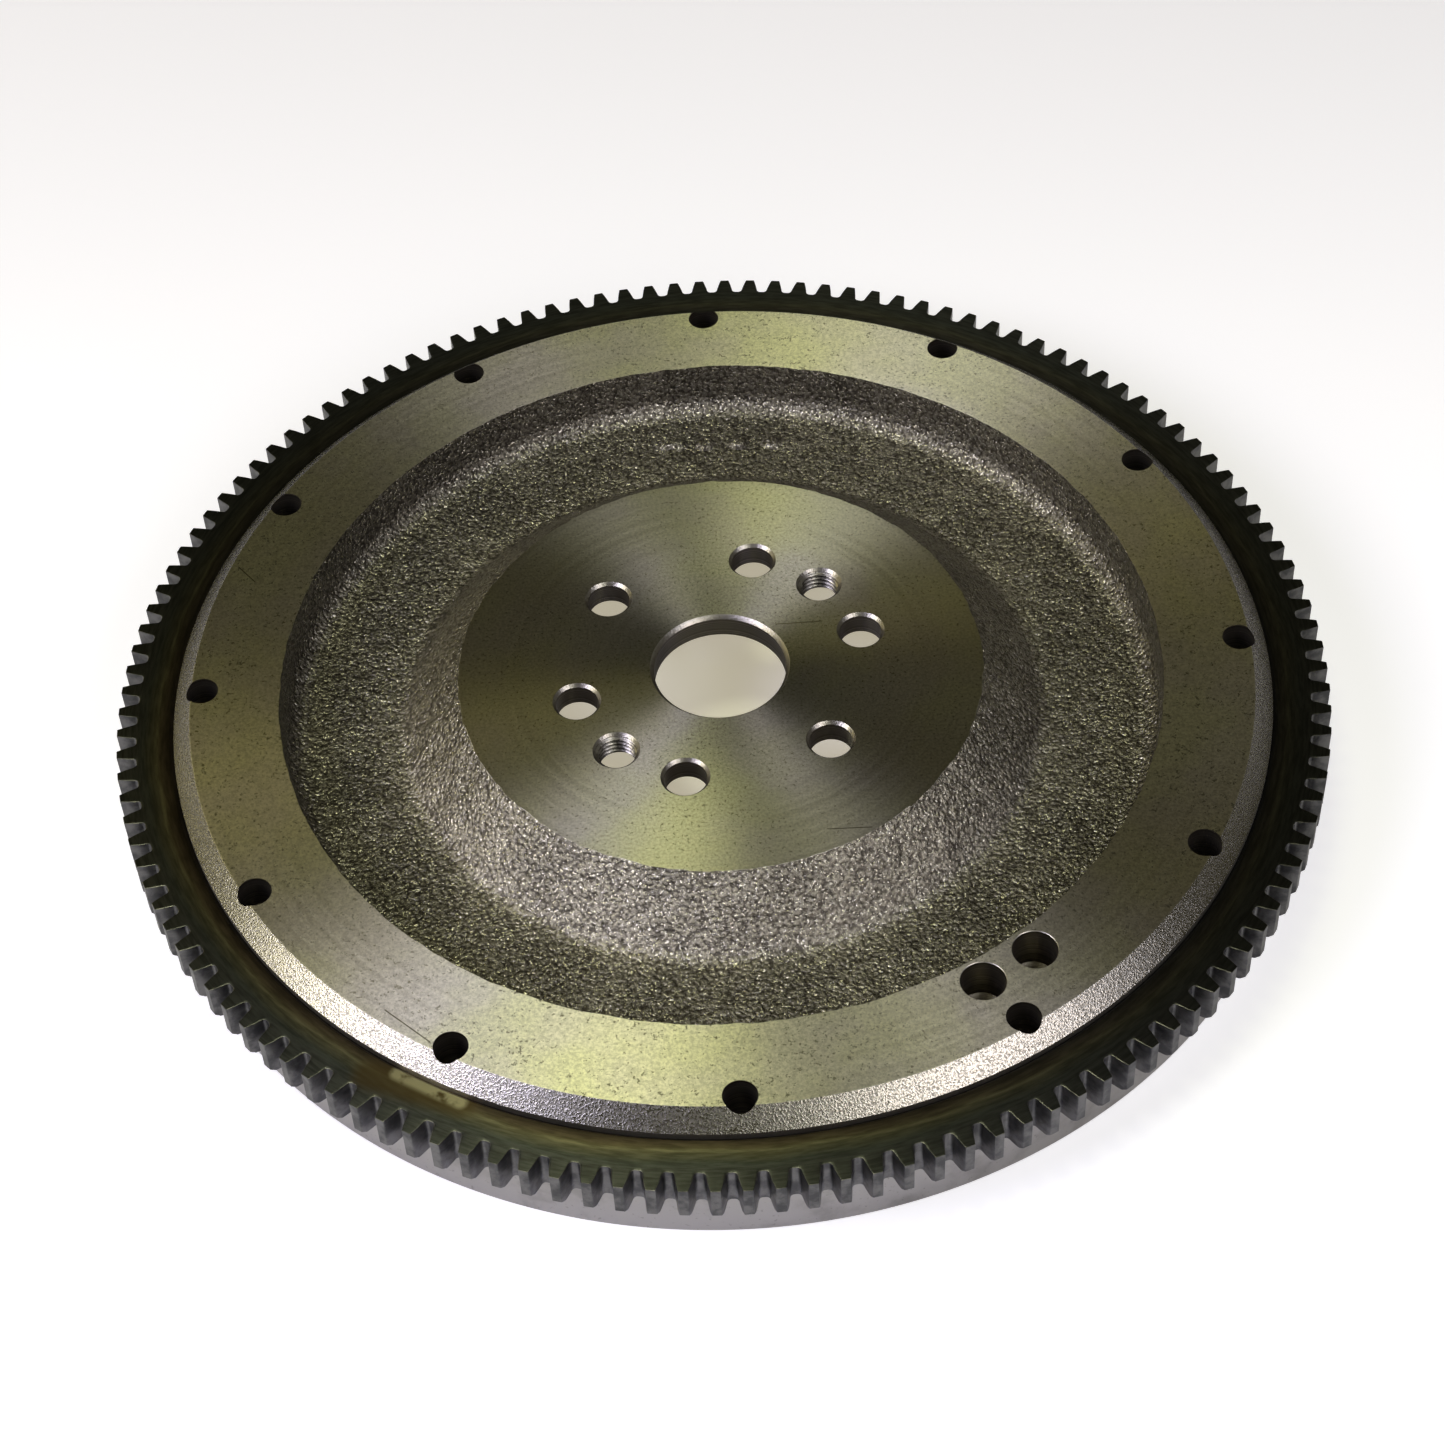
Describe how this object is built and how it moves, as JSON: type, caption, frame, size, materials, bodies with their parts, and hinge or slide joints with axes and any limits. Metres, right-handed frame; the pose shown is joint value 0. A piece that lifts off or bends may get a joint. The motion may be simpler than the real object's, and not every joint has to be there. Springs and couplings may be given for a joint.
{
  "type": "flywheel",
  "caption": "Cast iron clutch flywheel with a raised hub, a hollowed web, a drilled rim and a shrunk-on starter ring gear.",
  "frame": {"origin": "middle of the centre bore, in the plane of the hub's crank face", "axes": "+Z along the bore towards the engine; +X through one clutch cover hole"},
  "size_m": [0.2836, 0.2836, 0.0296],
  "materials": {
    "cast_iron": "turned and drilled faces, with as-cast skin in the web",
    "ring_steel": "blackened steel with heat tint, bare teeth"
  },
  "bodies": {
    "root": {"flywheel_disc": "cast_iron", "ring_gear": "ring_steel"}
  },
  "joints": []
}
